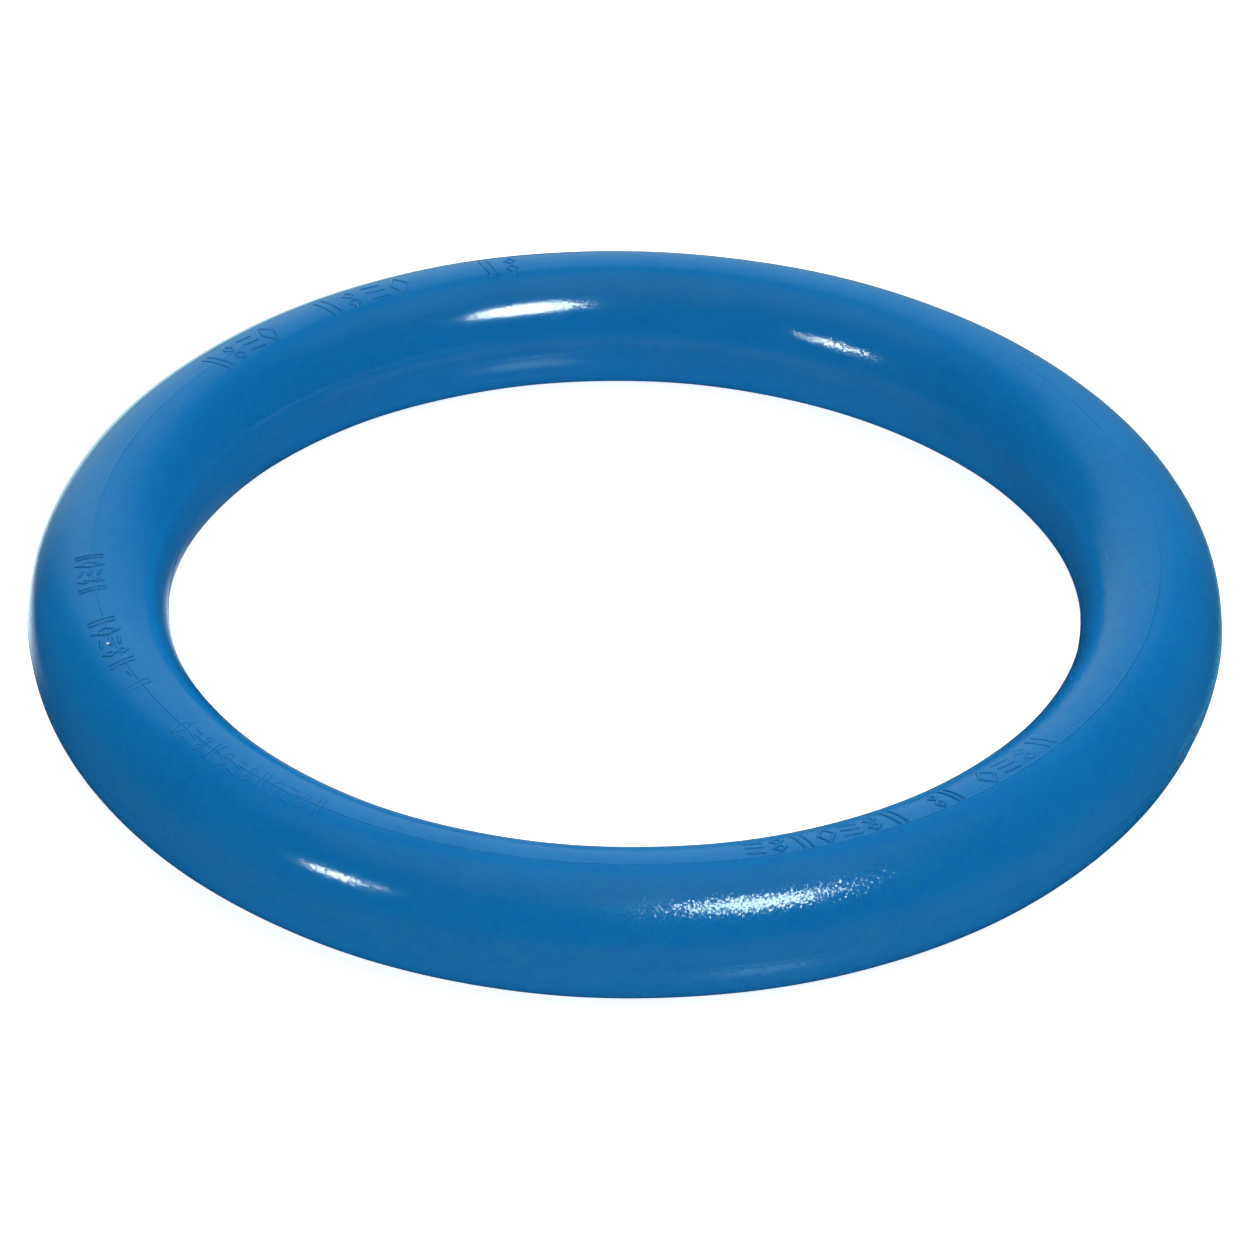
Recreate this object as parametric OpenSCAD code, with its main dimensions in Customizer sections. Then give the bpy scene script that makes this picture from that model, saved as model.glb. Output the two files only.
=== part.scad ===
// Round-section throwing ring: a hollow soft-vinyl tube bent into a closed ring, with
// moulded parting lines, raised marks along its top and a small pull-out air valve.
// Millimetres. The ring lies flat: origin at its centre, +Z along its axis.

/* [Ring] */
// Diameter of the circle along the tube's centre line
ring_d = 150; // [140:1:170]
// Outer diameter of the tube
tube_d = 20; // [18:0.5:22]
// Thickness of the vinyl wall
wall_t = 3; // [2.5:0.1:3.5]

/* [Mould lines] */
// Height of the parting beads at the outer and inner equator
bead_h = 0.14; // [0.1:0.01:0.25]
// Half width of the parting beads
bead_w = 0.28; // [0.2:0.01:0.4]
// Height of the fine witness line along the top
crown_h = 0.09; // [0.05:0.01:0.15]
// Place of the witness line round the tube, 90 is the very top
crown_at = 88; // [84:0.5:92]

/* [Raised marks] */
// How far the marks stand out of the tube
mark_h = 0.25; // [0.2:0.01:0.4]
// Width of a mark's strokes
mark_stroke = 0.5; // [0.4:0.02:0.6]

/* [Valve place] */
// Direction of the valve round the ring, counted from +X
valve_at = -21.8; // [-40:0.1:0]
// Tilt of the valve below the outer equator
valve_drop = 9; // [6:0.5:12]
// Diameter of the flat pad that is sunk into the tube round the valve
pad_d = 12.8; // [11.5:0.1:14]
// Depth of the pad below the tube's surface
pad_sink = 0.4; // [0.3:0.05:0.5]

/* [Valve parts] */
// Outer diameter of the seat's barrel
seat_d = 5.4; // [5.2:0.1:5.6]
// Diameter of the seat's anchoring flange
flange_d = 8.4; // [7.6:0.1:8.6]
// Diameter of the rubber core
core_d = 3.6; // [3.4:0.1:3.8]
// Diameter of the plug's head
head_d = 4; // [3.6:0.1:4.1]
// Thickness of the plug's head
head_t = 0.9; // [0.8:0.05:1.1]
// Diameter of the plug's shank
shank_d = 1.9; // [1.7:0.05:2.1]
// Gap between the plug's shank and the hole in the core
shank_gap = 0.05; // [0.03:0.01:0.08]

/* [Colours] */
// Colour of the vinyl
vinyl = "#1168AC";
// Colour of the valve's seat and plug
trim = "#0F5FA0";
// Colour of the rubber core
rubber = "#2B2D30";

/* [Hidden] */
$fn = 128;

ring_r = ring_d / 2;
tube_r = tube_d / 2;

// Heights along the valve's axis, counted from the tube's centre line
pad_z = tube_r - pad_sink;
boss_r = 5.5;
boss_z = 4.3;
flange_z = 5.6;
flange_t = 1.2;
seat_z = 2.6;
lip_t = 0.4;
lip_r = 1.2;
head_gap = 0.1;
head_under = 0.05;
plug_z = pad_z - head_t;
core_top = plug_z - head_under;
core_z = seat_z + lip_t;
shank_z = 4.4;
shank_tip = 0.35;
core_floor = shank_z - 0.2;
head_edge = 0.15;
thumb_r = 1.1;
thumb_t = 0.2;
nick_w = 1.2;
nick_d = 0.45;

// Raised marks, one row per group: first and last direction round the ring, number of
// marks, offset of the row from the tube's centre line, mark height
mark_groups = [
    [102.6, 107.9, 2, 0.55, 5.0],
    [116.0, 128.4, 4, 0.45, 5.0],
    [134.2, 144.9, 4, 0.45, 5.0],
    [184.0, 191.5, 5, 0.85, 4.0],
    [195.8, 205.5, 5, 0.85, 4.0],
    [208.0, 210.0, 1, 0.85, 4.0],
    [217.0, 238.6, 12, 0.55, 4.0],
    [282.5, 301.0, 7, -1.75, 4.0],
    [304.0, 308.0, 2, -1.75, 4.0],
    [310.5, 322.0, 4, -1.75, 4.0],
];
// Short bars between groups: direction, offset, length along the ring
mark_bars = [[206.8, 0.85, 1.2]];
// Marks rise from inside the wall
mark_z = tube_r - 1.8;

// ---- one mark in a box w wide and h high, centred; four plain shapes in turn
module slanted_bar(w, h, lean) {
    s = mark_stroke * 0.55;
    polygon([[-lean - s, -h / 2], [-lean + s, -h / 2], [lean + s, h / 2], [lean - s, h / 2]]);
}

module lozenge(w, h) {
    polygon([[0, -h / 2], [w / 2, 0], [0, h / 2], [-w / 2, 0]]);
}

module mark(kind, w, h) {
    s = mark_stroke;
    steep = sqrt(1 + pow(h / w, 2));
    if (kind == 0)
        difference() {
            lozenge(w, h);
            lozenge(w - 2 * s * steep * w / h, h - 2 * s * steep);
        }
    if (kind == 1)
        for (side = [-1, 1]) translate([side * w * 0.26, 0]) slanted_bar(w, h, w * 0.16);
    if (kind == 2)
        for (tier = [-1, 1]) translate([0, tier * h / 4]) lozenge(w * 0.7, h * 0.44);
    if (kind == 3)
        for (tier = [-1, 0, 1])
            translate([0, tier * h * 0.36])
                polygon([[-w / 2, -s], [w / 2, 0], [w / 2, s], [-w / 2, 0]]);
}

module mark_row(first, last, count, offset, h) {
    step = (last - first) / count;
    w = min(3.1, step * PI / 180 * ring_r * 0.72);
    for (i = [0 : count - 1])
        rotate(first + step * (i + 0.5)) translate([ring_r + offset, 0]) rotate(90)
            mirror([0, 1]) mark((i * 3 + count) % 4, w, h);
}

module marks_flat() {
    for (g = mark_groups) mark_row(g[0], g[1], g[2], g[3], g[4]);
    for (b = mark_bars)
        rotate(b[0]) translate([ring_r + b[1] - mark_stroke / 2, -b[2] / 2])
            square([mark_stroke, b[2]]);
}

module torus(r) {
    rotate_extrude() translate([ring_r, 0]) circle(r);
}

module raised_marks() {
    intersection() {
        torus(tube_r + mark_h);
        translate([0, 0, mark_z]) linear_extrude(3) marks_flat();
    }
}

// Section through the tube's wall, with its parting beads and its witness line
module bead(at, h, w) {
    rotate(at) translate([tube_r + h - w, 0]) circle(w);
}

module tube_section() {
    difference() {
        union() {
            circle(tube_r);
            bead(0, bead_h, bead_w);
            bead(180, bead_h, bead_w);
            bead(crown_at, crown_h, 0.2);
        }
        circle(tube_r - wall_t);
    }
}

// Puts its children on the valve's axis: local +Z points out of the tube
module on_valve() {
    rotate(valve_at) translate([ring_r, 0, 0]) rotate([0, 90 + valve_drop, 0]) children();
}

module rod(r, from, to) {
    translate([0, 0, from]) cylinder(r = r, h = to - from);
}

module ring_shell() {
    color(vinyl) difference() {
        union() {
            rotate_extrude() translate([ring_r, 0]) tube_section();
            raised_marks();
            on_valve() rod(boss_r, boss_z, tube_r - wall_t / 2);
        }
        on_valve() {
            rod(pad_d / 2, pad_z, tube_r + 2);
            rod(seat_d / 2, boss_z - 1, pad_z + 1);
            rod(flange_d / 2, flange_z, flange_z + flange_t);
        }
    }
}

// Stiff bush moulded into the wall: barrel, anchoring flange and a lip under the core
module valve_seat() {
    color(trim) on_valve() difference() {
        union() {
            rod(seat_d / 2, seat_z, pad_z);
            rod(flange_d / 2, flange_z, flange_z + flange_t);
        }
        rod(lip_r, seat_z - 1, core_z + 1);
        rod(core_d / 2, core_z, pad_z);
        rod(head_d / 2 + head_gap, core_top, pad_z + 1);
        translate([-nick_w / 2, head_d / 2 - 0.3, core_top + 0.3])
            cube([nick_w, 0.3 + nick_d, 3]);
    }
}

// Rubber core pressed into the seat, closed at its inner end by a self-sealing wall
module valve_core() {
    color(rubber) on_valve() difference() {
        rod(core_d / 2, core_z, core_top);
        rod(shank_d / 2 + shank_gap, core_floor, core_top + 1);
    }
}

// Closing plug: head flush with the pad, with a bevelled edge and a shallow thumb dish, and
// a shank with a tapered tip
module valve_plug() {
    color(trim) on_valve() {
        difference() {
            union() {
                rod(head_d / 2, plug_z, pad_z - head_edge);
                translate([0, 0, pad_z - head_edge])
                    cylinder(r1 = head_d / 2, r2 = head_d / 2 - head_edge, h = head_edge);
            }
            rod(thumb_r, pad_z - thumb_t, pad_z + 1);
        }
        rod(shank_d / 2, shank_z + shank_tip, plug_z);
        translate([0, 0, shank_z]) cylinder(r1 = shank_d / 2 - 0.3, r2 = shank_d / 2, h = shank_tip);
    }
}

ring_shell();
valve_seat();
valve_core();
valve_plug();
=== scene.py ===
# Round-section throwing ring in soft blue vinyl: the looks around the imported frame.
# Metres, unless a comment says otherwise. The ring's axis is +Z and its centre is the origin.
import math

import bpy
import numpy as np
from mathutils import Matrix, Vector


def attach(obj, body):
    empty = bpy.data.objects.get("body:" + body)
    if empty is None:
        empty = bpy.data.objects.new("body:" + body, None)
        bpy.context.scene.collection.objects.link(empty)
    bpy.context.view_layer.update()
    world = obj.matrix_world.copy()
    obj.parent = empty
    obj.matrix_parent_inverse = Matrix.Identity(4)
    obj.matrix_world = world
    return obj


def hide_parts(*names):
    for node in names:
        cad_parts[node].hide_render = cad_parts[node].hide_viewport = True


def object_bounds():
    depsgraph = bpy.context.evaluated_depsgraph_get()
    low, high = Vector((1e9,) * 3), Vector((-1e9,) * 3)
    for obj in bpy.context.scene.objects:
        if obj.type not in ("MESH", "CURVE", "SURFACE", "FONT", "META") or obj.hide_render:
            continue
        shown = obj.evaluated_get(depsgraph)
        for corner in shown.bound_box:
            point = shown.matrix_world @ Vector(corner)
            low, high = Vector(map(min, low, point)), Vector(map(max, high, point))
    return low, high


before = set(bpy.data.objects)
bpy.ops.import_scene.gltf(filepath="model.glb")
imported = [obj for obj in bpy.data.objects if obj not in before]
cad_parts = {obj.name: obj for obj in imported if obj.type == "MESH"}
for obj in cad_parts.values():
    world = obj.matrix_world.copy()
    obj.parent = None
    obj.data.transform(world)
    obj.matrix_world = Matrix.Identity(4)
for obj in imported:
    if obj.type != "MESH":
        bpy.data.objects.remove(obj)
cad_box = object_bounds()

MM = 0.001

# ---- sizes in millimetres and degrees. They are the CAD model's, except that the beads, the crown line
# and the marks stand lower, as they look in the picture.
RING_R, TUBE_R = 75.0, 10.0
BEAD_H, BEAD_W = 0.08, 0.26
CROWN_H, CROWN_W = 0.075, 0.17
VALVE_AT, VALVE_DROP = -21.8, 9.0
PAD_R, PAD_Z = 6.4, 9.6
SEAT_R, CORE_R, HEAD_R, SHANK_R = 2.7, 1.8, 2.0, 0.95
SEAT_Z, CORE_Z, PLUG_Z, CORE_TOP, SHANK_Z = 2.6, 3.0, 8.7, 8.65, 4.4
# the hole in the skin round the seat: (radius, height) down its rounded lip and its wall
HOLE_FLOOR = 5.0
HOLE = [
    (SEAT_R + 0.10, PAD_Z),
    (SEAT_R + 0.03, PAD_Z - 0.03),
    (SEAT_R + 0.004, PAD_Z - 0.11),
    (SEAT_R + 0.004, HOLE_FLOOR),
]
# width and height of a mark's strokes, and the steps that they are drawn in
MARK_W, MARK_H, MARK_STEP = 0.20, 0.095, 0.28
# groups of marks: first and last angle round the ring, how many marks, how far their middle lies
# outside the centre line, their length, and how high they stand
MARK_GROUPS = [
    (102.6, 107.9, 2, 0.55, 5.0, 0.17),
    (116.0, 128.4, 4, 0.45, 5.0, 0.17),
    (134.2, 144.9, 4, 0.45, 5.0, 0.12),
    (184.0, 191.5, 5, 0.85, 4.0, 0.08),
    (195.8, 205.5, 5, 0.85, 4.0, 0.08),
    (208.0, 210.0, 1, 0.85, 4.0, 0.10),
    (217.0, 238.6, 12, 0.55, 4.0, 0.088),
    (282.5, 301.0, 7, -1.75, 4.0, 0.10),
    (304.0, 308.0, 2, -1.75, 4.0, 0.10),
    (310.5, 322.0, 4, -1.75, 4.0, 0.10),
]


# ---- the valve's own frame: local +Z points out of the tube, +X down the tube's side
def valve_matrix():
    around, drop = math.radians(VALVE_AT), math.radians(90 + VALVE_DROP)
    return (
        Matrix.Rotation(around, 4, "Z")
        @ Matrix.Translation((RING_R, 0, 0))
        @ Matrix.Rotation(drop, 4, "Y")
    )


VALVE = valve_matrix()
VALVE_NP, VALVE_INV = np.array(VALVE), np.array(VALVE.inverted())
# the plane of the pad, in metres: its middle, its normal and its distance from the origin
PAD_POINT = tuple(float(c) * MM for c in (VALVE_NP @ np.array([0, 0, PAD_Z, 1.0]))[:3])
PAD_AXIS = tuple(float(c) for c in VALVE_NP[:3, 2])
PAD_AWAY = sum(a * b for a, b in zip(PAD_POINT, PAD_AXIS))


def on_skin(theta, phi, lift=0.0):
    """A point on the tube, in metres, for angles round the ring and round the tube in degrees."""
    t, p = math.radians(theta), math.radians(phi)
    rho = RING_R + (TUBE_R + lift) * math.cos(p)
    return rho * math.cos(t) * MM, rho * math.sin(t) * MM, (TUBE_R + lift) * math.sin(p) * MM


# a speck of dust painted pure white as a painted glint: its middle, radius and soft edge
SPECK_POINT, SPECK_R, SPECK_SOFT = on_skin(200.9, 82.53, 0.1), 0.24, 0.06


# ---- node helpers
def link(tree, a, b):
    tree.links.new(a, b)


def object_coords(tree):
    return tree.nodes.new("ShaderNodeTexCoord").outputs["Object"]


def separate(tree, vector):
    n = tree.nodes.new("ShaderNodeSeparateXYZ")
    link(tree, vector, n.inputs[0])
    return n.outputs


def noise_node(tree, coords, scale, detail=2.0, rough=0.5):
    n = tree.nodes.new("ShaderNodeTexNoise")
    n.inputs["Scale"].default_value = scale
    n.inputs["Detail"].default_value = detail
    n.inputs["Roughness"].default_value = rough
    link(tree, coords, n.inputs["Vector"])
    return n


def noise(*args):
    return noise_node(*args).outputs["Fac"]


def ramp(tree, fac, stops):
    """Map fac from the first two of the stops to the last two."""
    n = tree.nodes.new("ShaderNodeMapRange")
    for name, value in zip(("From Min", "From Max", "To Min", "To Max"), stops):
        n.inputs[name].default_value = value
    link(tree, fac, n.inputs["Value"])
    return n.outputs["Result"]


def mix(tree, fac, a, b):
    n = tree.nodes.new("ShaderNodeMix")
    n.data_type = "RGBA"
    link(tree, fac, n.inputs["Factor"])
    for socket, value in ((n.inputs["A"], a), (n.inputs["B"], b)):
        if isinstance(value, tuple):
            socket.default_value = (*value, 1)
        else:
            link(tree, value, socket)
    return n.outputs["Result"]


def maths(tree, op, a, b):
    n = tree.nodes.new("ShaderNodeMath")
    n.operation = op
    for socket, value in zip(n.inputs, (a, b)):
        if isinstance(value, (int, float)):
            socket.default_value = value
        else:
            link(tree, value, socket)
    return n.outputs[0]


def vector_maths(tree, op, *values):
    """A node with that vector operation; each value is a socket or a fixed vector."""
    n = tree.nodes.new("ShaderNodeVectorMath")
    n.operation = op
    for socket, value in zip(n.inputs, values):
        if isinstance(value, tuple):
            socket.default_value = value
        else:
            link(tree, value, socket)
    return n


def distance(tree, at, point):
    return vector_maths(tree, "DISTANCE", at, point).outputs["Value"]


def bump(tree, height, strength, metres):
    n = tree.nodes.new("ShaderNodeBump")
    n.inputs["Strength"].default_value = strength
    n.inputs["Distance"].default_value = metres
    link(tree, height, n.inputs["Height"])
    return n.outputs["Normal"]


def grain_normal(t, before, at, scale, amount):
    """Tilt the normal by a fine noise, for grain too small for a height to be traced across it."""
    cells = noise_node(t, at, scale, 1.0)
    tilt = vector_maths(t, "SUBTRACT", cells.outputs["Color"], (0.5, 0.5, 0.5)).outputs["Vector"]
    tilt = vector_maths(t, "SCALE", tilt)
    link(t, amount, tilt.inputs["Scale"])
    both = vector_maths(t, "ADD", before, tilt.outputs["Vector"]).outputs["Vector"]
    return vector_maths(t, "NORMALIZE", both).outputs["Vector"]


# ---- materials. Noise scales are per metre.
# colours of the pad's painted shade, of the painted highlight along its edge, and of a dust speck painted
# white as a glint
PAD_SHADE_COLOUR, PAD_EDGE_HIGHLIGHT_COLOUR, DUST_AND_GLINT_COLOUR = (0.0030, 0.090, 0.296), (0.06, 0.26, 0.50), (0.9, 0.9, 0.9)
# depth below the pad's plane at which its painted shade and the painted highlight along its edge set in, in
# millimetres
PAD_FLAT_FROM, PAD_HIGHLIGHT_FROM, PAD_HIGHLIGHT_SHARE = (-0.045, -0.02), (-0.15, -0.09), 0.55
BROAD, SMALL, FINE, CLOUD = 55, 420, 1100, 130
SKIN_SCALE, GRAIN_SCALE, PEEL_SCALE = 900, 4200, 2400
HAZE_ROUGH = 0.22
# how high the bumps stand, in millimetres
SKIN_H, RUBBER_H = 0.002, 0.012


def moulded(name, colours, rough, wear, peel, grain, haze=0.0, pad=False):
    """Moulded vinyl: mottled colour, cloudy gloss, a fine grain, and a coarse side.

    On the coarse side, wear adds to the roughness, peel is the strength of a coarser grain, and haze
    that of a soft veil over the highlights. With pad, the flat round the valve shows with painted shade and
    a painted highlight along its edge, and a speck of dust shows, painted white as a glint.
    """
    deep, mid, pale, green = colours
    m = bpy.data.materials.new(name)
    m.use_nodes = True
    t = m.node_tree
    b = t.nodes["Principled BSDF"]
    at = object_coords(t)
    colour = mix(t, ramp(t, noise(t, at, BROAD, 3, 0.55), (0.3, 0.7, 0.0, 1.0)), deep, mid)
    colour = mix(t, ramp(t, noise(t, at, SMALL, 3, 0.6), (0.35, 0.8, 0.0, 0.35)), colour, pale)
    # fine mottling between a greener and a bluer tone
    colour = mix(t, ramp(t, noise(t, at, FINE, 2, 0.6), (0.38, 0.62, 0.0, 0.6)), colour, green)

    def beyond(point, radius, soft):
        stops = ((radius - soft) * MM, (radius + soft) * MM, 0.0, 1.0)
        return ramp(t, distance(t, at, point), stops)

    x, y, _ = separate(t, at)
    # how far a point lies towards the coarse side, which is near and to the right
    lean = maths(t, "SUBTRACT", maths(t, "MULTIPLY", x, 0.8), y)
    coarse = maths(t, "POWER", ramp(t, lean, (0.0, 0.08, 0.0, 1.0)), 2.0)
    # the coarse side reflects a little less
    shine = ramp(t, lean, (-0.09, 0.08, 0.62, 0.34))
    if pad:
        # the moulded flat round the valve is duller, and its colour is painted darker as painted shade,
        # with a painted highlight along its edge
        height = vector_maths(t, "DOT_PRODUCT", at, PAD_AXIS).outputs["Value"]
        height = maths(t, "SUBTRACT", height, PAD_AWAY)
        near = maths(t, "SUBTRACT", 1.0, beyond(PAD_POINT, PAD_R, 0.15))

        def above(limits, share):
            low, high = limits
            return maths(t, "MULTIPLY", near, ramp(t, height, (low * MM, high * MM, 0.0, share)))

        flat = above(PAD_FLAT_FROM, 1.0)
        colour = mix(t, above(PAD_HIGHLIGHT_FROM, PAD_HIGHLIGHT_SHARE), colour, PAD_EDGE_HIGHLIGHT_COLOUR)
        colour = mix(t, flat, colour, PAD_SHADE_COLOUR)
        shine = maths(t, "MULTIPLY", shine, ramp(t, flat, (0.0, 1.0, 1.0, 0.15)))
        # a speck of dust, painted pure white as a painted glint
        colour = mix(t, beyond(SPECK_POINT, SPECK_R, SPECK_SOFT), DUST_AND_GLINT_COLOUR, colour)
    link(t, colour, b.inputs["Base Color"])
    link(t, shine, b.inputs["Specular IOR Level"])
    # gloss: cloudy patches, duller where the skin is coarse
    gloss = ramp(t, noise(t, at, CLOUD, 4, 0.6), (0.3, 0.7, rough - 0.03, rough + 0.05))
    link(t, maths(t, "ADD", gloss, maths(t, "MULTIPLY", coarse, wear)), b.inputs["Roughness"])
    if haze:
        link(t, maths(t, "MULTIPLY", coarse, haze), b.inputs["Coat Weight"])
        b.inputs["Coat Roughness"].default_value = HAZE_ROUGH
    # the fine grain is weaker on the left
    grainy = ramp(t, x, (-0.02, 0.03, 0.5, 1.0))
    skin = bump(t, noise(t, at, SKIN_SCALE, 2, 0.5), 1.0, SKIN_H * MM)
    skin = grain_normal(t, skin, at, GRAIN_SCALE, maths(t, "MULTIPLY", grainy, grain))
    skin = grain_normal(t, skin, at, PEEL_SCALE, maths(t, "MULTIPLY", coarse, peel))
    link(t, skin, b.inputs["Normal"])
    return m


def plain_rubber(name, colour, rough):
    """Dull dark rubber with a trace of dust."""
    m = bpy.data.materials.new(name)
    m.use_nodes = True
    t = m.node_tree
    b = t.nodes["Principled BSDF"]
    at = object_coords(t)
    dust = ramp(t, noise(t, at, 2400, 4, 0.7), (0.45, 0.75, 0.0, 0.5))
    dull = ramp(t, noise(t, at, 900, 3, 0.6), (0.3, 0.7, rough - 0.08, rough + 0.1))
    link(t, mix(t, dust, colour, tuple(min(1, c * 2.2) for c in colour)), b.inputs["Base Color"])
    link(t, dull, b.inputs["Roughness"])
    link(t, bump(t, noise(t, at, 5200, 3, 0.6), 1.0, RUBBER_H * MM), b.inputs["Normal"])
    return m


# the deep, middle, pale and greener tone of each vinyl
RING_TONES = (
    (0.0030, 0.114, 0.350), (0.0045, 0.132, 0.386), (0.010, 0.154, 0.418), (0.0045, 0.150, 0.345)
)
SEAT_TONES = (
    (0.0025, 0.100, 0.330), (0.0040, 0.118, 0.370), (0.008, 0.140, 0.400), (0.0040, 0.125, 0.330)
)
PLUG_TONES = (
    (0.0030, 0.110, 0.360), (0.0045, 0.130, 0.400), (0.010, 0.155, 0.430), (0.0045, 0.138, 0.355)
)
vinyl = moulded(
    "ring_vinyl", RING_TONES, rough=0.12, wear=0.02, peel=0.30, grain=0.24, haze=0.11, pad=True
)
trim = moulded("seat_vinyl", SEAT_TONES, rough=0.28, wear=0.05, peel=0.2, grain=0.3)
plug_mat = moulded("plug_vinyl", PLUG_TONES, rough=0.22, wear=0.05, peel=0.2, grain=0.3)
rubber = plain_rubber("core_rubber", (0.016, 0.017, 0.019), 0.55)


def moved(matrix, points):
    return points @ matrix[:3, :3].T + matrix[:3, 3]


def smooth_min(a, b, k):
    h = np.clip(0.5 + 0.5 * (b - a) / k, 0, 1)
    return b * (1 - h) + a * h - k * h * (1 - h)


def spread(base, dense, low, high):
    """Sorted values from low to high: an even base, with each dense stretch in its own step."""
    values = np.arange(low, high, base)
    for start, stop, step in dense:
        values = values[(values < start - step * 0.5) | (values > stop + step * 0.5)]
        values = np.concatenate([values, np.arange(start, stop + step * 0.5, step)])
    return np.sort(values)


def object_from(name, verts, faces, material, smooth=True):
    mesh = bpy.data.meshes.new(name)
    mesh.from_pydata([tuple(v) for v in verts], [], faces)
    mesh.validate()
    mesh.materials.append(material)
    mesh.polygons.foreach_set("use_smooth", [smooth] * len(mesh.polygons))
    mesh.update()
    o = bpy.data.objects.new(name, mesh)
    bpy.context.scene.collection.objects.link(o)
    return o


# ---- the ring's skin, in millimetres
CROWN_AT = 88.0


def crown_line(theta):
    """Where the fine line along the top runs round the tube, in degrees; it wanders a little."""
    t = np.radians(theta)
    dip = np.exp(-((((theta % 360) - 160) / 28) ** 2))
    near = np.cos(t - 2.9) * (np.cos(t - 2.9) < 0)
    return 87.9 + 0.5 * np.sin(t - 2.2) + 0.9 * near - 2.2 * dip


def skin_points(theta, phi):
    """Points of the moulded skin for angles round the ring and round the tube in degrees."""
    t, p = np.radians(theta), np.radians(phi)
    # slight unevenness of a soft moulded tube
    wave = 0.035 * np.sin(3 * t + 1.1 * np.sin(p)) + 0.025 * np.sin(7 * t + 0.8 + np.cos(p + 1.0))
    wave = wave + 0.018 * np.sin(17 * t + 2.0 * np.sin(p - 0.6))

    def raised(at, height, width):
        d = (phi - at + 180) % 360 - 180
        return height * np.exp(-((np.radians(d) * TUBE_R / (width * 0.62)) ** 2))

    r = TUBE_R + wave + raised(0, BEAD_H, BEAD_W) + raised(180, BEAD_H, BEAD_W)
    # the crown line fades out round the far side
    faint = 1 - 0.9 * np.exp(-((((theta - 92 + 180) % 360 - 180) / 52) ** 4))
    r = r + faint * raised(crown_line(theta), CROWN_H, CROWN_W)
    rho = RING_R + r * np.cos(p)
    points = np.stack([rho * np.cos(t), rho * np.sin(t), r * np.sin(p)], -1)
    # the sunk pad round the valve, with soft edges
    local = moved(VALVE_INV, points)
    d = np.hypot(local[..., 0], local[..., 1])
    near = (local[..., 2] > HOLE_FLOOR) & (d < PAD_R + 2)
    flat = smooth_min(local[..., 2], np.full(d.shape, PAD_Z), 0.05)
    inside = np.clip((PAD_R + 0.12 - d) / 0.34, 0, 1)
    inside = inside * inside * (3 - 2 * inside)
    sunk = local[..., 2] + (flat - local[..., 2]) * inside
    local[..., 2] = np.where(near, sunk, local[..., 2])
    return moved(VALVE_NP, local)


# steps of the skin's grid in degrees: the base, and (from, to, step) where it is denser
AROUND_RING = 0.75, [(VALVE_AT % 360 - 5.4, VALVE_AT % 360 + 5.4, 0.15)]
AROUND_TUBE = 3.6, [(-29.0, 11.0, 1.0), (-2.0, 2.0, 0.5), (85.5, 90.5, 0.36), (178.0, 182.0, 0.5)]


def skin():
    """The skin's points and faces, with the hole for the valve's seat."""
    theta = spread(*AROUND_RING, 0, 360)
    phi = spread(*AROUND_TUBE, -90, 270)
    T, P = np.meshgrid(theta, phi, indexing="ij")
    # rows beside the crown line follow it
    follow = np.exp(-(((P - CROWN_AT) / 6.0) ** 2))
    P = P + (crown_line(T) - CROWN_AT) * follow
    points = skin_points(T, P).reshape(-1, 3)
    local = moved(VALVE_INV, points)
    d = np.hypot(local[:, 0], local[:, 1])
    hole = (local[:, 2] > HOLE_FLOOR) & (d < SEAT_R + 0.06)
    a = np.arange(T.size).reshape(T.shape)
    b = np.roll(a, -1, 0)
    quads = np.stack([a, b, np.roll(b, -1, 1), np.roll(a, -1, 1)], -1).reshape(-1, 4)
    keep = ~hole[quads].any(1)
    faces = [tuple(int(i) for i in q) for q in quads[keep]]
    # the open edge round the hole, as a loop of points
    edges = {(i, j) for f in faces for i, j in zip(f, f[1:] + f[:1])}
    rim_next = {i: j for i, j in edges if (j, i) not in edges}
    start = min(rim_next)
    loop = [start]
    while rim_next[loop[-1]] != start:
        loop.append(rim_next[loop[-1]])
    # its points go onto the lip's circle, and a wall runs down to a floor
    verts = [tuple(v) for v in points]
    rings = []
    for radius, z in HOLE:
        ring = []
        for i in loop:
            angle = math.atan2(local[i, 1], local[i, 0])
            at = np.array([radius * math.cos(angle), radius * math.sin(angle), z])
            at = tuple(moved(VALVE_NP, at))
            if rings:
                verts.append(at)
                ring.append(len(verts) - 1)
            else:
                verts[i] = at
                ring.append(i)
        rings.append(ring)
    verts.append(tuple(moved(VALVE_NP, np.array([0.0, 0.0, HOLE_FLOOR]))))
    n = len(loop)
    for upper, lower in zip(rings, rings[1:]):
        for k in range(n):
            m = (k + 1) % n
            faces.append((upper[m], upper[k], lower[k], lower[m]))
    for k in range(n):
        faces.append((rings[-1][(k + 1) % n], rings[-1][k], len(verts) - 1))
    # leave out the points inside the hole
    used = sorted({i for f in faces for i in f})
    new = {i: k for k, i in enumerate(used)}
    return [verts[i] for i in used], [tuple(new[i] for i in f) for f in faces]


# ---- raised marks: low rounded ridges that follow the tube, drawn in plan, in millimetres
# a ridge's section: (across, up) in shares of its width and height; its feet are under the skin
SECTION = [
    (-1.3, -0.10), (-1.0, 0.02), (-0.72, 0.62), (-0.3, 1.0),
    (0.3, 1.0), (0.72, 0.62), (1.0, 0.02), (1.3, -0.10),
]
# at each end of a ridge: how far on, in widths, and its share of width and height there
ENDS = [(0.75, 0.78, 0.62), (1.15, 0.30, -0.3)]


def on_tube(x, y, lift):
    """The point of the tube over that point of the plan, in metres."""
    rho = math.hypot(x, y)
    a = rho - RING_R
    z = math.sqrt(TUBE_R**2 - a * a)
    k = 1 + lift / TUBE_R
    return ((RING_R + a * k) * x / rho * MM, (RING_R + a * k) * y / rho * MM, z * k * MM)


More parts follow.
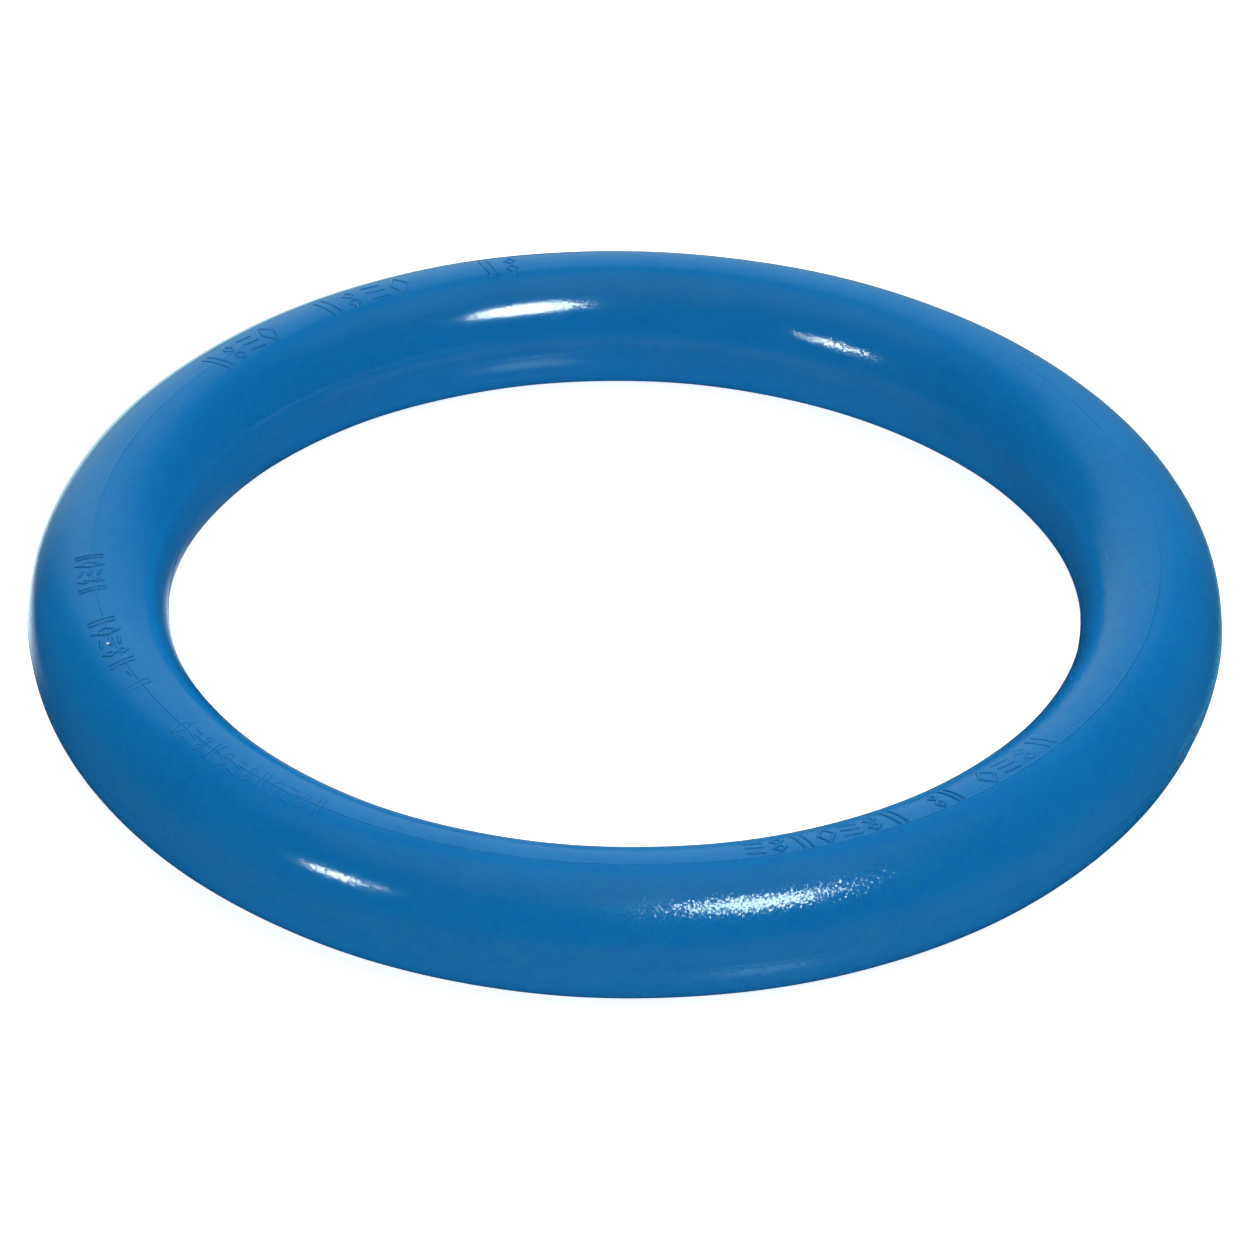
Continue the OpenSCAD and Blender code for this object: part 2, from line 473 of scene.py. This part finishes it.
def ridge(path, closed, verts, faces, width=MARK_W, height=MARK_H):
    """Add a ridge along a path in plan to those points and faces."""
    path = [np.array(p, float) for p in path]
    corners = path + [path[0]] if closed else path
    line = []
    for a, b in zip(corners, corners[1:]):
        steps = max(1, int(round(np.linalg.norm(b - a) / MARK_STEP)))
        line += [a + (b - a) * k / steps for k in range(steps)]
    if not closed:
        line.append(corners[-1])
    n = len(line)
    rings = []
    for k, p in enumerate(line):
        before = line[k - 1] if (closed or k) else p
        after = line[(k + 1) % n] if (closed or k < n - 1) else p
        u, v = p - before, after - p
        u = u / (np.linalg.norm(u) or 1)
        v = v / (np.linalg.norm(v) or 1)
        along = u + v
        along = along / np.linalg.norm(along)
        side = np.array([-along[1], along[0]])
        # wider where the path turns a corner
        turn = float(np.dot(side, [-v[1], v[0]])) if np.any(v) else 1.0
        rings.append((p, side, min(1 / max(0.45, turn), 1.8), along, 1.0))
    if not closed:

        def cap(ring, step, wide, tall):
            p, side, _, along, _ = ring
            return p + along * width * step, side, wide, along, tall

        head = [cap(rings[0], -step, wide, tall) for step, wide, tall in reversed(ENDS)]
        rings = head + rings + [cap(rings[-1], *end) for end in ENDS]
    first, w, count = len(verts), len(SECTION), len(rings)
    for p, side, wide, _, tall in rings:
        for sideways, up in SECTION:
            at = p + side * (sideways * width * wide)
            verts.append(on_tube(at[0], at[1], up * height * (tall if up > 0 else 1.0)))
    for k in range(count if closed else count - 1):
        a, b = first + k * w, first + ((k + 1) % count) * w
        for j in range(w):
            i = (j + 1) % w
            faces.append((a + j, a + i, b + i, b + j))
    if not closed:
        last = first + (count - 1) * w
        faces.append(tuple(first + j for j in reversed(range(w))))
        faces.append(tuple(last + j for j in range(w)))


def mark_paths(kind, w, h):
    """The strokes of one plain mark in a box w wide and h high: (points, closed)."""
    if kind == 0:  # a diamond
        return [([(0, -h / 2), (w / 2, 0), (0, h / 2), (-w / 2, 0)], True)]
    if kind == 1:  # two leaning bars
        lean = w * 0.16
        return [([(s * w * 0.26 - lean, -h / 2), (s * w * 0.26 + lean, h / 2)], False) for s in (-1, 1)]
    if kind == 2:  # two small diamonds
        a, b = w * 0.34, h * 0.21
        return [([(0, c - b), (a, c), (0, c + b), (-a, c)], True) for c in (-h / 4, h / 4)]
    # three short bars
    return [([(-w / 2, c - 0.15), (w / 2, c + 0.2)], False) for c in (-h * 0.36, 0, h * 0.36)]


def in_plan(theta, phi):
    """Where a point of the tube lies in plan, for angles in degrees."""
    t = math.radians(theta)
    rho = RING_R + TUBE_R * math.cos(math.radians(phi))
    return rho * math.cos(t), rho * math.sin(t)


def marks(verts, faces):
    for first, last, count, offset, h, tall in MARK_GROUPS:
        step = (last - first) / count
        w = min(3.1, math.radians(step) * RING_R * 0.72) - MARK_W
        for i in range(count):
            a = math.radians(first + step * (i + 0.5))
            c, s = math.cos(a), math.sin(a)
            for path, closed in mark_paths((i * 3 + count) % 4, w, h - 2 * MARK_W):
                places = [(x, RING_R + offset + y) for x, y in path]
                stroke = [(rho * c - x * s, rho * s + x * c) for x, rho in places]
                ridge(stroke, closed, verts, faces, height=tall)
    # a short bar between two groups, and a hairline scuff
    ridge([in_plan(206.4, 85), in_plan(207.2, 85)], False, verts, faces)
    ridge([in_plan(246.4, 96), in_plan(247.6, 92.4)], False, verts, faces, width=0.06, height=0.05)


verts, faces = skin()
verts = [(x * MM, y * MM, z * MM) for x, y, z in verts]
extra_v, extra_f = [], []
marks(extra_v, extra_f)
base = len(verts)
ring = object_from(
    "ring_skin", verts + extra_v, faces + [tuple(i + base for i in f) for f in extra_f], vinyl
)
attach(ring, "ring")
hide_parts("ring_shell")


# ---- the valve's turned pieces, with rounded edges, in millimetres
def rounded(profile, radius, steps=3):
    """A turned profile of (r, z) corners with each corner inside it rounded."""
    out = [profile[0]]
    for a, b, c in zip(profile, profile[1:], profile[2:]):
        a, b, c = (np.array(p, float) for p in (a, b, c))
        u, v = a - b, c - b
        lu, lv = np.linalg.norm(u), np.linalg.norm(v)
        k = min(radius, lu * 0.45, lv * 0.45)
        p, q = b + u / lu * k, b + v / lv * k
        for i in range(steps + 1):
            t = i / steps
            out.append(tuple((1 - t) ** 2 * p + 2 * t * (1 - t) * b + t * t * q))
    out.append(profile[-1])
    return out


def turned(name, profile, material, segments=72, shape=None):
    """A closed solid of revolution on the valve's axis.

    The profile starts and ends on the axis, or it is a closed loop clear of it.
    """
    on_axis = abs(profile[0][0]) < 1e-6
    circles = profile[1:-1] if on_axis else profile
    verts, faces = [], []
    for r, z in circles:
        for k in range(segments):
            a = 2 * math.pi * k / segments
            p = [r * math.cos(a), r * math.sin(a), z]
            verts.append(shape(p, a) if shape else p)
    rows = len(circles)
    for i in range(rows - 1 if on_axis else rows):
        a, b = i * segments, ((i + 1) % rows) * segments
        for k in range(segments):
            m = (k + 1) % segments
            faces.append((a + k, a + m, b + m, b + k))
    if on_axis:
        low, high, last = len(verts), len(verts) + 1, (rows - 1) * segments
        verts += [[0, 0, profile[0][1]], [0, 0, profile[-1][1]]]
        for k in range(segments):
            m = (k + 1) % segments
            faces.append((low, m, k))
            faces.append((high, last + k, last + m))
    return object_from(name, moved(VALVE_NP, np.array(verts, float)) * MM, faces, material)


NOTCH_HALF, NOTCH_DEPTH = 0.34, 0.36


def seat_shape(p, a):
    """A finger-nail notch at one side of the mouth."""
    r = math.hypot(p[0], p[1])
    side = abs((a - math.pi / 2 + math.pi) % (2 * math.pi) - math.pi)
    if p[2] > CORE_TOP + 0.25 and r < SEAT_R - 0.1 and side < NOTCH_HALF:
        deep = NOTCH_DEPTH * (0.5 + 0.5 * math.cos(math.pi * side / NOTCH_HALF))
        k = (r + deep) / r
        return [p[0] * k, p[1] * k, p[2]]
    return p


SEAT_PROFILE = [
    (2.25, PAD_Z), (SEAT_R, PAD_Z), (SEAT_R, 6.8), (4.1, 6.75), (4.1, 5.65), (SEAT_R, 5.6),
    (SEAT_R, SEAT_Z), (1.2, SEAT_Z), (1.2, CORE_Z), (1.9, CORE_Z), (1.9, CORE_TOP - 0.02),
    (2.1, CORE_TOP), (2.1, PAD_Z - 0.1), (2.25, PAD_Z),
]
CORE_PROFILE = [
    (0, CORE_Z), (CORE_R, CORE_Z), (CORE_R, CORE_TOP), (1.15, CORE_TOP), (1.0, CORE_TOP - 0.15),
    (1.0, 4.2), (0, 4.2),
]
PLUG_PROFILE = [
    (0, SHANK_Z), (0.62, SHANK_Z), (SHANK_R - 0.02, SHANK_Z + 0.4), (SHANK_R, 5.6), (SHANK_R, PLUG_Z),
    (HEAD_R, PLUG_Z), (HEAD_R, PAD_Z - 0.15), (HEAD_R - 0.15, PAD_Z), (1.15, PAD_Z),
    (0.95, PAD_Z - 0.18), (0, PAD_Z - 0.2),
]
seat = turned("valve_seat_bush", rounded(SEAT_PROFILE, 0.05)[:-1], trim, 96, seat_shape)
core = turned("valve_core_rubber", rounded(CORE_PROFILE, 0.08), rubber)
plug = turned("valve_plug_pin", rounded(PLUG_PROFILE, 0.08), plug_mat)
for piece, body, cad, slot in (
    (seat, "ring", "valve_seat", "seat_vinyl"),
    (core, "ring", "valve_core", "core_rubber"),
    (plug, "plug", "valve_plug", "plug_vinyl"),
):
    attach(piece, body)
    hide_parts(cad)

# ---- floor, lamps, cards
floor_z = cad_box[0].z
bpy.ops.mesh.primitive_plane_add(size=8, location=(0, 0, floor_z))
floor = bpy.context.object
floor.name = "floor"
fm = bpy.data.materials.new("floor")
fm.use_nodes = True
fb = fm.node_tree.nodes["Principled BSDF"]
fb.inputs["Base Color"].default_value = (0.6, 0.6, 0.6, 1)
fb.inputs["Roughness"].default_value = 0.9
fb.inputs["Specular IOR Level"].default_value = 0.1
fb.inputs["Emission Color"].default_value = (1, 1, 1, 1)
fb.inputs["Emission Strength"].default_value = 0.9
floor.data.materials.append(fm)
floor.visible_glossy = False


def towards(azimuth, elevation):
    a, e = math.radians(azimuth), math.radians(elevation)
    return Vector((math.cos(e) * math.cos(a), math.cos(e) * math.sin(a), math.sin(e)))


def across(away, degrees):
    """Half the width that spans that angle at that distance."""
    return away * math.tan(math.radians(degrees / 2))


# where the two bright lamps are, as azimuth and elevation
KEY, SIDE = (-58.5, 52.5), (-143.5, 31)
LAMP_AWAY = 1.8
# lamps that light the ring and don't show: place, width and height as angles in degrees, radiance
LAMPS = {
    "key": (KEY, 23, 18.5, 12.0),
    "right": ((28, 8), 24, 14, 3.6),
    "side": (SIDE, 10.5, 9.5, 8.9),
    "back": ((92, 25), 50, 40, 6.6),
    "top": ((0, 89.9), 60, 60, 2.4),
}


def lamp(name, place, width, height, radiance):
    d = towards(*place)
    data = bpy.data.lights.new(name, "AREA")
    data.shape = "ELLIPSE"
    data.size = 2 * across(LAMP_AWAY, width)
    data.size_y = 2 * across(LAMP_AWAY, height)
    data.energy = radiance * data.size * data.size_y * math.pi / 4 * math.pi
    o = bpy.data.objects.new(name, data)
    bpy.context.scene.collection.objects.link(o)
    o.location = d * LAMP_AWAY
    o.rotation_mode = "QUATERNION"
    o.rotation_quaternion = (-d).to_track_quat("-Z", "Y")
    o.visible_camera = o.visible_glossy = False


def colour_ramp(t, fac, stops):
    """A grey ramp through those (position, value) stops."""
    stops = sorted(stops)
    n = t.nodes.new("ShaderNodeValToRGB")
    link(t, fac, n.inputs["Fac"])
    while len(n.color_ramp.elements) < len(stops):
        n.color_ramp.elements.new(0.5)
    for stop, (at, value) in zip(n.color_ramp.elements, stops):
        stop.position, stop.color = min(1, max(0, at)), (value, value, value, 1)
    return n.outputs["Color"]


def only_in_reflections(o):
    for ray in ("camera", "diffuse", "transmission", "volume_scatter", "shadow"):
        setattr(o, "visible_" + ray, False)


def card(name, place, away, width, height, paint, tint, is_round=True):
    """A glowing card that only shows in reflections; its width and height are angles in degrees."""
    d = towards(*place)
    w, h = across(away, width), across(away, height)
    if is_round:
        turns = [2 * math.pi * k / 48 for k in range(48)]
        flat = [(w * math.cos(a), h * math.sin(a), 0) for a in turns]
    else:
        flat = [(-w, -h, 0), (w, -h, 0), (w, h, 0), (-w, h, 0)]
    m = bpy.data.materials.new(name)
    m.use_nodes = True
    t = m.node_tree
    t.nodes.clear()
    glow = t.nodes.new("ShaderNodeEmission")
    glow.inputs["Color"].default_value = (*tint, 1)
    link(t, glow.outputs[0], t.nodes.new("ShaderNodeOutputMaterial").inputs["Surface"])
    link(t, paint(t, w, h), glow.inputs["Strength"])
    o = object_from(name, flat, [tuple(range(len(flat)))], m, False)
    o.location = d * away
    o.rotation_mode = "QUATERNION"
    o.rotation_quaternion = d.to_track_quat("-Z", "Y")
    only_in_reflections(o)


# the studio walls are a slightly green white
STUDIO, LAMP_WHITE, TABLE_TINT = (0.86, 1.16, 0.93), (0.90, 1.08, 0.96), (0.50, 0.98, 1.0)

# the pale sweep behind the ring: its middle, width and height, in degrees
SWEEP_AT, SWEEP_LIFT, SWEEP_WIDE, SWEEP_HIGH = 92, 6, 95, 104
# its brightness by azimuth
SWEEP = [
    (139, 0.0), (135, 0.02), (130, 0.10), (125, 0.32), (120, 0.50), (114, 0.56), (108, 0.54), (100, 0.47),
    (92, 0.41), (86, 0.34), (80, 0.27), (74, 0.20), (68, 0.15), (60, 0.085), (52, 0.04), (45, 0.0),
]
# and by elevation
SWEEP_UP = [
    (-46, 0.0), (-40, 0.15), (-35, 0.45), (-28, 0.80), (-5, 0.90), (5, 1.0), (20, 0.90), (30, 0.78),
    (38, 0.60), (45, 0.50), (52, 0.38), (58, 0.30),
]


def sweep_glow(t, w, h):
    x, y, _ = separate(t, object_coords(t))

    def by_angle(along, half, table, middle, wide, sign):
        size = math.tan(math.radians(wide / 2))
        stops = [
            (0.5 + sign * 0.5 * math.tan(math.radians(at - middle)) / size, value) for at, value in table
        ]
        return colour_ramp(t, ramp(t, along, (-half, half, 0.0, 1.0)), stops)

    sideways = by_angle(x, w, SWEEP, SWEEP_AT, SWEEP_WIDE, -1)
    return maths(t, "MULTIPLY", sideways, by_angle(y, h, SWEEP_UP, SWEEP_LIFT, SWEEP_HIGH, 1))


def soft_round(strength, edge):
    """Strength of a round card that falls off over the outer part of its radius."""

    def paint(t, w, h):
        scaled = vector_maths(t, "MULTIPLY", object_coords(t), (1 / w, 1 / h, 0)).outputs["Vector"]
        length = vector_maths(t, "LENGTH", scaled).outputs["Value"]
        fade = ramp(t, length, (1 - edge, 1.0, strength, 0.0))
        fade.node.interpolation_type = "SMOOTHSTEP"
        return fade

    return paint


# ---- the table as reflections see it, a disc just over the floor
TABLE_R, TABLE_LIFT = 0.130, 0.0002
# outside this radius it is the table round the ring, and inside it the table in the opening
TABLE_INNER = 0.076
# how bright the table round the ring is, by the angle round the ring in degrees
TABLE = [
    (-26, 0.0), (-16, 0.55), (-6, 1.4), (20, 1.25), (40, 1.0), (70, 1.0), (95, 1.5), (120, 2.3), (145, 3.3),
    (168, 3.3), (176, 2.2), (182, 0.9), (187, 0.1), (191, 0.0),
]
# and the table in the opening, which is bright only close to its left side
TABLE_INSIDE = [(140, 0.0), (158, 0.15), (166, 0.7), (176, 1.4), (183, 1.2), (190, 0.1), (194, 0.0)]
TABLE_INSIDE_FROM = (0.057, 0.066)
# a dim patch in the opening: its middle, where it fades, and its brightness
DIM_MIDDLE, DIM_EDGE, DIM = (0, -0.013), (0.046, 0.054), 0.22
# the table further out is left open: the middle of the solid part, and where that fades
TABLE_MIDDLE, TABLE_EDGE = (-0.004, 0.015), (0.074, 0.108)
# the glow's tint from the left to the right
TABLE_SPAN, TABLE_LEFT, TABLE_RIGHT = (-0.05, 0.05), (0.84, 0.98, 1.14), (0.22, 0.86, 1.15)
TABLE_GLOSS, TABLE_ROUGH = (0.030, 0.044, 0.044), 0.16


def table_glow(z):
    m = bpy.data.materials.new("table_glow")
    m.use_nodes = True
    t = m.node_tree
    t.nodes.clear()
    at = object_coords(t)
    # a radial gradient has its seam on -X, and a quarter turn puts that on the dark near side
    spin = t.nodes.new("ShaderNodeMapping")
    spin.inputs["Rotation"].default_value = (0, 0, math.radians(-90))
    link(t, at, spin.inputs["Vector"])
    radial = t.nodes.new("ShaderNodeTexGradient")
    radial.gradient_type = "RADIAL"
    link(t, spin.outputs["Vector"], radial.inputs["Vector"])

    def around(table):
        return colour_ramp(t, radial.outputs["Fac"], [((a + 90) / 360, value) for a, value in table])

    from_axis = distance(t, at, (0, 0, z))
    outside = maths(t, "GREATER_THAN", from_axis, TABLE_INNER)
    inside = maths(t, "SUBTRACT", 1.0, outside)
    inside = maths(t, "MULTIPLY", inside, ramp(t, from_axis, (*TABLE_INSIDE_FROM, 0.0, 1.0)))
    outer = maths(t, "MULTIPLY", around(TABLE), outside)
    light = maths(t, "ADD", outer, maths(t, "MULTIPLY", around(TABLE_INSIDE), inside))
    dim = ramp(t, distance(t, at, (*DIM_MIDDLE, z)), (*DIM_EDGE, DIM, 0.0))
    light = maths(t, "ADD", light, dim)
    glow = t.nodes.new("ShaderNodeEmission")
    tint = mix(t, ramp(t, separate(t, at)["X"], (*TABLE_SPAN, 0.0, 1.0)), TABLE_LEFT, TABLE_RIGHT)
    link(t, tint, glow.inputs["Color"])
    link(t, light, glow.inputs["Strength"])
    gloss = t.nodes.new("ShaderNodeBsdfGlossy")
    gloss.inputs["Color"].default_value = (*TABLE_GLOSS, 1)
    gloss.inputs["Roughness"].default_value = TABLE_ROUGH
    table = t.nodes.new("ShaderNodeAddShader")
    link(t, glow.outputs[0], table.inputs[0])
    link(t, gloss.outputs[0], table.inputs[1])
    solid = ramp(t, distance(t, at, (*TABLE_MIDDLE, z)), (*TABLE_EDGE, 1.0, 0.0))
    solid.node.interpolation_type = "SMOOTHSTEP"
    clear = t.nodes.new("ShaderNodeBsdfTransparent")
    both = t.nodes.new("ShaderNodeMixShader")
    link(t, maths(t, "MULTIPLY", outside, maths(t, "SUBTRACT", 1.0, solid)), both.inputs["Fac"])
    link(t, table.outputs[0], both.inputs[1])
    link(t, clear.outputs[0], both.inputs[2])
    link(t, both.outputs[0], t.nodes.new("ShaderNodeOutputMaterial").inputs["Surface"])
    turns = [2 * math.pi * k / 96 for k in range(96)]
    verts = [(TABLE_R * math.cos(a), TABLE_R * math.sin(a), z) for a in turns]
    only_in_reflections(object_from("table_glow", verts, [tuple(range(96))], m, False))


for name, values in LAMPS.items():
    lamp(name, *values)
card("sweep", (SWEEP_AT, SWEEP_LIFT), 1.5, SWEEP_WIDE, SWEEP_HIGH, sweep_glow, STUDIO, is_round=False)
card("sweep_foot", (108, -17), 1.35, 34, 26, soft_round(1.2, 0.6), STUDIO)
card("ceiling", (90, 78), 1.6, 74, 60, soft_round(0.15, 0.7), STUDIO)
table_glow(floor_z + TABLE_LIFT)
card("key_shine", KEY, 1.7, 17.8, 18.2, soft_round(30, 0.10), LAMP_WHITE)
# the key lamp again, as the glossy table in front of the ring mirrors it
card("key_low", (KEY[0], -KEY[1]), 1.7, 17, 16, soft_round(1.8, 0.5), TABLE_TINT)
card("side_shine", SIDE, 1.7, 9, 8, soft_round(55, 0.4), LAMP_WHITE)

# ---- world and camera
world = bpy.data.worlds.new("studio")
bpy.context.scene.world = world
world.use_nodes = True
world.cycles.sampling_method = "NONE"
wt = world.node_tree
wt.nodes["Background"].inputs["Color"].default_value = (1, 1, 1, 1)
path = wt.nodes.new("ShaderNodeLightPath")
link(wt, path.outputs["Is Camera Ray"], wt.nodes["Background"].inputs["Strength"])

CAM_ELEVATION, CAM_ROLL, CAM_AWAY = math.radians(35.06), math.radians(0.93), 11.15 * RING_R * MM
SENSOR_MM, LENS_MM, SHIFT_Y = 36, 168.6528, -0.0224
cam_data = bpy.data.cameras.new("camera")
cam = bpy.data.objects.new("camera", cam_data)
bpy.context.scene.collection.objects.link(cam)
bpy.context.scene.camera = cam
cam_data.sensor_width = SENSOR_MM
cam_data.lens = LENS_MM
cam_data.shift_y = SHIFT_Y
cam_data.clip_start, cam_data.clip_end = 0.05, 20
cam_dir = Vector((0, -math.cos(CAM_ELEVATION), math.sin(CAM_ELEVATION)))
cam.location = cam_dir * CAM_AWAY
cam.rotation_mode = "QUATERNION"
aim = (-cam_dir).to_track_quat("-Z", "Y")
cam.rotation_quaternion = aim @ Matrix.Rotation(CAM_ROLL, 3, "Z").to_quaternion()

bpy.context.scene.view_settings.view_transform = "Standard"
bpy.context.scene.view_settings.look = "None"
